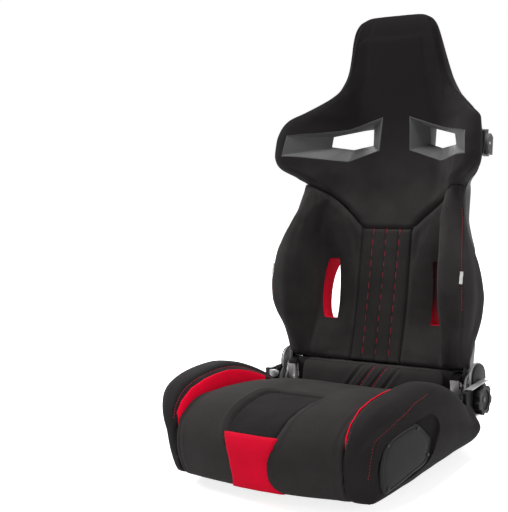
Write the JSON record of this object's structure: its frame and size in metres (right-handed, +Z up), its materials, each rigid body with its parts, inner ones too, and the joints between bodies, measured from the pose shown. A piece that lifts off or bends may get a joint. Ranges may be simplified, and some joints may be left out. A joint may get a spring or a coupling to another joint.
{
  "type": "seat",
  "caption": "Reclining sport seat with fixed headrest, harness slots, deep bolsters, red inserts, side hand wheels and a steel base frame that bolts down",
  "frame": {"origin": "centre of the four base bolts, on the underside of the side rails", "axes": "+X to the right in a view from the front, -Y to the front, +Z up"},
  "size_m": [0.584, 0.7416, 0.9267],
  "materials": {
    "frame_black": "satin black",
    "bracket_steel": "satin grey",
    "bright_steel": "zinc plated",
    "fabric_black": "knitted",
    "fabric_seat": "knitted",
    "fabric_red": "woven",
    "tag_fabric": "woven",
    "plastic_grey": "grained",
    "plastic_black": "grained"
  },
  "bodies": {
    "base": {"left_rail": "frame_black", "right_rail": "frame_black", "front_cross_tube": "frame_black", "rear_cross_tube": "frame_black", "seat_pan": "frame_black", "left_side_support": "frame_black", "right_side_support": "frame_black", "mount_nuts": "bright_steel", "seat_cushion": "fabric_seat", "cushion_center_pad": "fabric_seat", "front_insert": "fabric_red", "rear_roll": "fabric_black", "left_bolster": "fabric_seat", "right_bolster": "fabric_seat", "left_accent": "fabric_red", "right_accent": "fabric_red", "left_side_plate": "plastic_black", "right_side_plate": "plastic_black", "left_bracket": "bracket_steel", "right_bracket": "bracket_steel", "bracket_bolts": "bright_steel", "left_recliner_disc": "bracket_steel", "right_recliner_disc": "bracket_steel", "left_pivot_cover": "plastic_black", "right_pivot_cover": "plastic_black", "left_side_shield": "plastic_black", "right_side_shield": "plastic_black"},
    "recliner_arms": {"left_recliner_arm": "bracket_steel", "right_recliner_arm": "bracket_steel", "latch_studs": "bright_steel"},
    "backrest": {"left_frame_leg": "frame_black", "right_frame_leg": "frame_black", "back_lower_tube": "frame_black", "back_hoop": "frame_black", "lumbar_tube": "frame_black", "head_frame": "frame_black", "rear_cover": "plastic_black", "back_insert": "fabric_black", "left_back_bolster": "fabric_black", "right_back_bolster": "fabric_black", "head_shoulder_pad": "fabric_black", "left_harness_bezel": "plastic_grey", "right_harness_bezel": "plastic_grey", "left_belt_liner": "fabric_red", "right_belt_liner": "fabric_red", "left_tag": "tag_fabric", "right_tag": "tag_fabric", "lever_housing": "plastic_black", "lever_pin": "bright_steel"},
    "hand_wheels": {"cross_shaft": "bright_steel", "left_hand_wheel": "plastic_black", "right_hand_wheel": "plastic_black"},
    "release_lever": {"fold_lever": "plastic_black"}
  },
  "joints": [
    {"name": "recline", "type": "hinge", "parent": "base", "child": "recliner_arms", "pos_m": [0, 0.168, 0.106], "axis": [-1, 0, 0], "range_deg": [-8, 50]},
    {"name": "fold_forward", "type": "hinge", "parent": "recliner_arms", "child": "backrest", "pos_m": [0, 0.168, 0.106], "axis": [1, 0, 0], "range_deg": [0, 40]},
    {"name": "hand_wheel_turn", "type": "hinge", "parent": "base", "child": "hand_wheels", "pos_m": [0, 0.168, 0.106], "axis": [-1, 0, 0], "range_deg": [-240, 1500]},
    {"name": "lever_pull", "type": "hinge", "parent": "backrest", "child": "release_lever", "pos_m": [0.249, 0.2715, 0.6412], "axis": [1, 0, 0], "range_deg": [0, 25], "stiffness_Nm_per_rad": 0.6, "springref_deg": -5.73}
  ],
  "couplings": [
    {"joint": "hand_wheel_turn", "follows": "recline", "ratio": 30}
  ]
}
